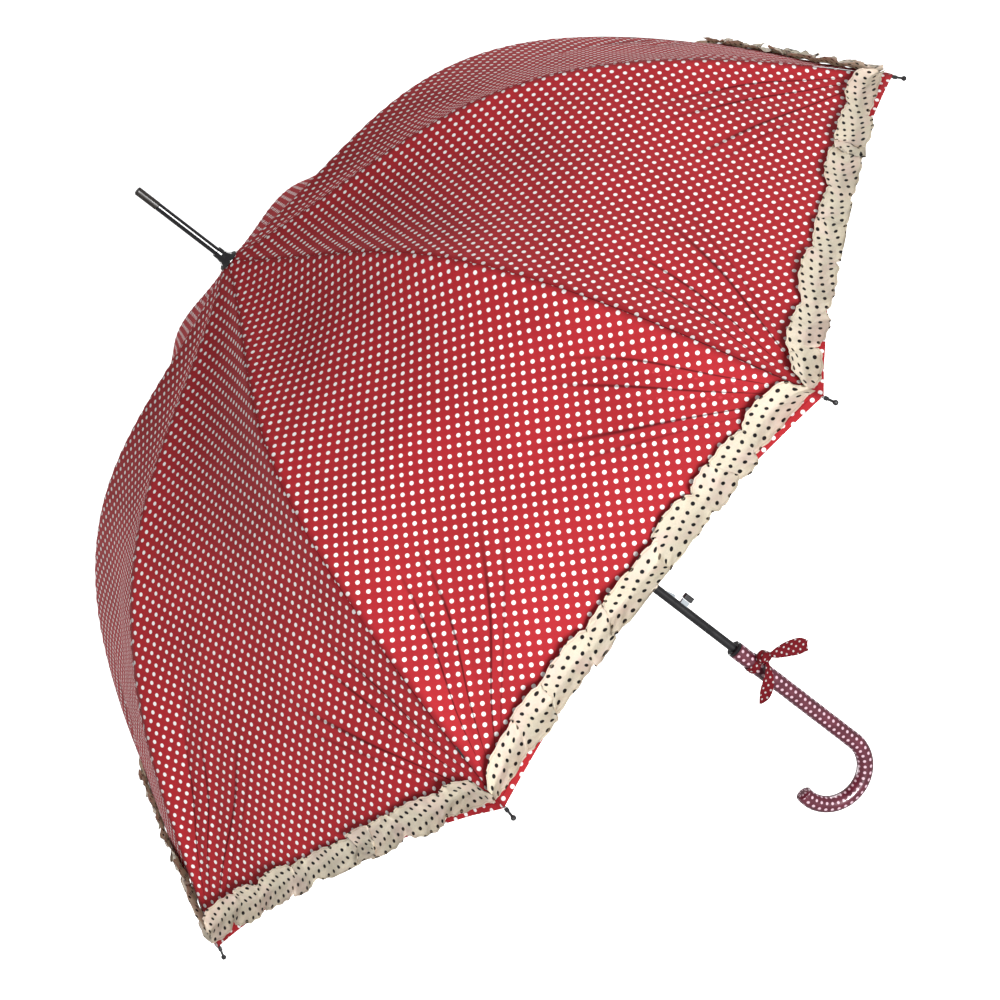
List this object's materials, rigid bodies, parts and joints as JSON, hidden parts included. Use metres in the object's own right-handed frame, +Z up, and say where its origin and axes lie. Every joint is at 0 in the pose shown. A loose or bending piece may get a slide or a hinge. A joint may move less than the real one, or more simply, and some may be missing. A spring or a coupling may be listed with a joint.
{
  "type": "stick umbrella",
  "caption": "Stick umbrella with a domed, dotted fabric canopy, a gathered frill at the hem, a push-button shaft and a covered crook handle with a bow.",
  "frame": {"origin": "on the shaft's axis in the middle of the handle's straight grip", "axes": "+Z up the shaft towards the ferrule; the crook turns towards -X; the push button is on +X"},
  "size_m": [0.8676, 0.8676, 0.861],
  "materials": {
    "red_fabric": "red woven polyester with small white dots",
    "cream_fabric": "thin cream cloth with small black dots, gathered",
    "black_satin": "satin black",
    "black_gloss": "glossy black",
    "black_steel": "black lacquered steel",
    "bright_steel": "plated steel",
    "grey_plastic": "grey plastic",
    "handle_cover": "dotted red cloth under clear gloss film"
  },
  "bodies": {
    "root": {"shaft_tube": "black_satin", "ferrule": "black_gloss", "ferrule_end_cap": "black_satin", "crown_rosette": "black_gloss", "top_notch": "black_satin", "notch_wire": "bright_steel", "opening_spring": "bright_steel", "handle_crook": "handle_cover", "handle_collar": "black_gloss", "crook_end_cap": "handle_cover", "bow_knot": "red_fabric", "bow_tail_upper": "red_fabric", "bow_tail_lower": "red_fabric", "frill": "cream_fabric"},
    "rib_1": {"rib_1_inner": "bright_steel", "canopy_gore_1": "red_fabric"},
    "rod_1": {"rib_1_outer": "black_steel", "rib_1_tip": "black_steel"},
    "strut_1": {"stretcher_1": "bright_steel"},
    "rib_2": {"rib_2_inner": "bright_steel", "canopy_gore_2": "red_fabric"},
    "rod_2": {"rib_2_outer": "black_steel", "rib_2_tip": "black_steel"},
    "strut_2": {"stretcher_2": "bright_steel"},
    "rib_3": {"rib_3_inner": "bright_steel", "canopy_gore_3": "red_fabric"},
    "rod_3": {"rib_3_outer": "black_steel", "rib_3_tip": "black_steel"},
    "strut_3": {"stretcher_3": "bright_steel"},
    "rib_4": {"rib_4_inner": "bright_steel", "canopy_gore_4": "red_fabric"},
    "rod_4": {"rib_4_outer": "black_steel", "rib_4_tip": "black_steel"},
    "strut_4": {"stretcher_4": "bright_steel"},
    "rib_5": {"rib_5_inner": "bright_steel", "canopy_gore_5": "red_fabric"},
    "rod_5": {"rib_5_outer": "black_steel", "rib_5_tip": "black_steel"},
    "strut_5": {"stretcher_5": "bright_steel"},
    "rib_6": {"rib_6_inner": "bright_steel", "canopy_gore_6": "red_fabric"},
    "rod_6": {"rib_6_outer": "black_steel", "rib_6_tip": "black_steel"},
    "strut_6": {"stretcher_6": "bright_steel"},
    "rib_7": {"rib_7_inner": "bright_steel", "canopy_gore_7": "red_fabric"},
    "rod_7": {"rib_7_outer": "black_steel", "rib_7_tip": "black_steel"},
    "strut_7": {"stretcher_7": "bright_steel"},
    "rib_8": {"rib_8_inner": "bright_steel", "canopy_gore_8": "red_fabric"},
    "rod_8": {"rib_8_outer": "black_steel", "rib_8_tip": "black_steel"},
    "strut_8": {"stretcher_8": "bright_steel"},
    "runner": {"runner_crown": "black_satin", "runner_sleeve": "black_satin"},
    "button": {"button_cap": "black_satin", "button_stem": "grey_plastic"},
    "lower_catch": {"bottom_catch": "grey_plastic"},
    "upper_catch": {"top_catch": "grey_plastic"}
  },
  "joints": [
    {"name": "canopy_fold", "type": "hinge", "parent": "root", "child": "rib_1", "pos_m": [0.00878, 0.00364, 0.6442], "axis": [-0.3827, 0.9239, 0], "range_deg": [0, 73.14], "stiffness_Nm_per_rad": 1.2, "springref_deg": -114.59, "deforming": ["canopy_gore_1", "frill"]},
    {"name": "rib_1_flex", "type": "hinge", "parent": "rib_1", "child": "rod_1", "pos_m": [0.21566, 0.08933, 0.59163], "axis": [-0.3827, 0.9239, 0], "range_deg": [-28.82, 0.5]},
    {"name": "stretcher_1_fold", "type": "hinge", "parent": "rib_1", "child": "strut_1", "pos_m": [0.20605, 0.08535, 0.59151], "axis": [-0.3827, 0.9239, 0], "range_deg": [-146.78, 0.5]},
    {"name": "rib_2_fold", "type": "hinge", "parent": "root", "child": "rib_2", "pos_m": [0.00364, 0.00878, 0.6442], "axis": [-0.9239, 0.3827, 0], "range_deg": [-0.5, 73.64], "deforming": ["canopy_gore_2"]},
    {"name": "rib_2_flex", "type": "hinge", "parent": "rib_2", "child": "rod_2", "pos_m": [0.08933, 0.21566, 0.59163], "axis": [-0.9239, 0.3827, 0], "range_deg": [-28.82, 0.5]},
    {"name": "stretcher_2_fold", "type": "hinge", "parent": "rib_2", "child": "strut_2", "pos_m": [0.08535, 0.20605, 0.59151], "axis": [-0.9239, 0.3827, 0], "range_deg": [-146.78, 0.5]},
    {"name": "rib_3_fold", "type": "hinge", "parent": "root", "child": "rib_3", "pos_m": [-0.00364, 0.00878, 0.6442], "axis": [-0.9239, -0.3827, 0], "range_deg": [-0.5, 73.64], "deforming": ["canopy_gore_3"]},
    {"name": "rib_3_flex", "type": "hinge", "parent": "rib_3", "child": "rod_3", "pos_m": [-0.08933, 0.21566, 0.59163], "axis": [-0.9239, -0.3827, 0], "range_deg": [-28.82, 0.5]},
    {"name": "stretcher_3_fold", "type": "hinge", "parent": "rib_3", "child": "strut_3", "pos_m": [-0.08535, 0.20605, 0.59151], "axis": [-0.9239, -0.3827, 0], "range_deg": [-146.78, 0.5]},
    {"name": "rib_4_fold", "type": "hinge", "parent": "root", "child": "rib_4", "pos_m": [-0.00878, 0.00364, 0.6442], "axis": [-0.3827, -0.9239, 0], "range_deg": [-0.5, 73.64], "deforming": ["canopy_gore_4"]},
    {"name": "rib_4_flex", "type": "hinge", "parent": "rib_4", "child": "rod_4", "pos_m": [-0.21566, 0.08933, 0.59163], "axis": [-0.3827, -0.9239, 0], "range_deg": [-28.82, 0.5]},
    {"name": "stretcher_4_fold", "type": "hinge", "parent": "rib_4", "child": "strut_4", "pos_m": [-0.20605, 0.08535, 0.59151], "axis": [-0.3827, -0.9239, 0], "range_deg": [-146.78, 0.5]},
    {"name": "rib_5_fold", "type": "hinge", "parent": "root", "child": "rib_5", "pos_m": [-0.00878, -0.00364, 0.6442], "axis": [0.3827, -0.9239, 0], "range_deg": [-0.5, 73.64], "deforming": ["canopy_gore_5"]},
    {"name": "rib_5_flex", "type": "hinge", "parent": "rib_5", "child": "rod_5", "pos_m": [-0.21566, -0.08933, 0.59163], "axis": [0.3827, -0.9239, 0], "range_deg": [-28.82, 0.5]},
    {"name": "stretcher_5_fold", "type": "hinge", "parent": "rib_5", "child": "strut_5", "pos_m": [-0.20605, -0.08535, 0.59151], "axis": [0.3827, -0.9239, 0], "range_deg": [-146.78, 0.5]},
    {"name": "rib_6_fold", "type": "hinge", "parent": "root", "child": "rib_6", "pos_m": [-0.00364, -0.00878, 0.6442], "axis": [0.9239, -0.3827, 0], "range_deg": [-0.5, 73.64], "deforming": ["canopy_gore_6"]},
    {"name": "rib_6_flex", "type": "hinge", "parent": "rib_6", "child": "rod_6", "pos_m": [-0.08933, -0.21566, 0.59163], "axis": [0.9239, -0.3827, 0], "range_deg": [-28.82, 0.5]},
    {"name": "stretcher_6_fold", "type": "hinge", "parent": "rib_6", "child": "strut_6", "pos_m": [-0.08535, -0.20605, 0.59151], "axis": [0.9239, -0.3827, 0], "range_deg": [-146.78, 0.5]},
    {"name": "rib_7_fold", "type": "hinge", "parent": "root", "child": "rib_7", "pos_m": [0.00364, -0.00878, 0.6442], "axis": [0.9239, 0.3827, 0], "range_deg": [-0.5, 73.64], "deforming": ["canopy_gore_7"]},
    {"name": "rib_7_flex", "type": "hinge", "parent": "rib_7", "child": "rod_7", "pos_m": [0.08933, -0.21566, 0.59163], "axis": [0.9239, 0.3827, 0], "range_deg": [-28.82, 0.5]},
    {"name": "stretcher_7_fold", "type": "hinge", "parent": "rib_7", "child": "strut_7", "pos_m": [0.08535, -0.20605, 0.59151], "axis": [0.9239, 0.3827, 0], "range_deg": [-146.78, 0.5]},
    {"name": "rib_8_fold", "type": "hinge", "parent": "root", "child": "rib_8", "pos_m": [0.00878, -0.00364, 0.6442], "axis": [0.3827, 0.9239, 0], "range_deg": [-0.5, 73.64], "deforming": ["canopy_gore_8"]},
    {"name": "rib_8_flex", "type": "hinge", "parent": "rib_8", "child": "rod_8", "pos_m": [0.21566, -0.08933, 0.59163], "axis": [0.3827, 0.9239, 0], "range_deg": [-28.82, 0.5]},
    {"name": "stretcher_8_fold", "type": "hinge", "parent": "rib_8", "child": "strut_8", "pos_m": [0.20605, -0.08535, 0.59151], "axis": [0.3827, 0.9239, 0], "range_deg": [-146.78, 0.5]},
    {"name": "runner_slide", "type": "slide", "parent": "root", "child": "runner", "axis": [0, 0, -1], "range_m": [-0.001, 0.33489], "deforming": ["opening_spring"]},
    {"name": "button_press", "type": "slide", "parent": "root", "child": "button", "axis": [-1, 0, 0], "range_m": [0, 0.0025], "stiffness_N_per_m": 400, "springref_m": -0.003},
    {"name": "bottom_catch_retract", "type": "slide", "parent": "root", "child": "lower_catch", "axis": [-1, 0, 0], "range_m": [-0.0001, 0.0026]},
    {"name": "top_catch_press", "type": "slide", "parent": "root", "child": "upper_catch", "axis": [-1, 0, 0], "range_m": [0, 0.0024], "stiffness_N_per_m": 400, "springref_m": -0.003}
  ],
  "couplings": [
    {"joint": "rib_1_flex", "follows": "canopy_fold", "ratio": -0.38724},
    {"joint": "stretcher_1_fold", "follows": "canopy_fold", "ratio": -2},
    {"joint": "rib_2_fold", "follows": "canopy_fold", "ratio": 1},
    {"joint": "rib_2_flex", "follows": "canopy_fold", "ratio": -0.38724},
    {"joint": "stretcher_2_fold", "follows": "canopy_fold", "ratio": -2},
    {"joint": "rib_3_fold", "follows": "canopy_fold", "ratio": 1},
    {"joint": "rib_3_flex", "follows": "canopy_fold", "ratio": -0.38724},
    {"joint": "stretcher_3_fold", "follows": "canopy_fold", "ratio": -2},
    {"joint": "rib_4_fold", "follows": "canopy_fold", "ratio": 1},
    {"joint": "rib_4_flex", "follows": "canopy_fold", "ratio": -0.38724},
    {"joint": "stretcher_4_fold", "follows": "canopy_fold", "ratio": -2},
    {"joint": "rib_5_fold", "follows": "canopy_fold", "ratio": 1},
    {"joint": "rib_5_flex", "follows": "canopy_fold", "ratio": -0.38724},
    {"joint": "stretcher_5_fold", "follows": "canopy_fold", "ratio": -2},
    {"joint": "rib_6_fold", "follows": "canopy_fold", "ratio": 1},
    {"joint": "rib_6_flex", "follows": "canopy_fold", "ratio": -0.38724},
    {"joint": "stretcher_6_fold", "follows": "canopy_fold", "ratio": -2},
    {"joint": "rib_7_fold", "follows": "canopy_fold", "ratio": 1},
    {"joint": "rib_7_flex", "follows": "canopy_fold", "ratio": -0.38724},
    {"joint": "stretcher_7_fold", "follows": "canopy_fold", "ratio": -2},
    {"joint": "rib_8_fold", "follows": "canopy_fold", "ratio": 1},
    {"joint": "rib_8_flex", "follows": "canopy_fold", "ratio": -0.38724},
    {"joint": "stretcher_8_fold", "follows": "canopy_fold", "ratio": -2},
    {"joint": "runner_slide", "follows": "canopy_fold", "m_per_rad": 0.26156},
    {"joint": "bottom_catch_retract", "follows": "button_press", "ratio": 0.96}
  ]
}
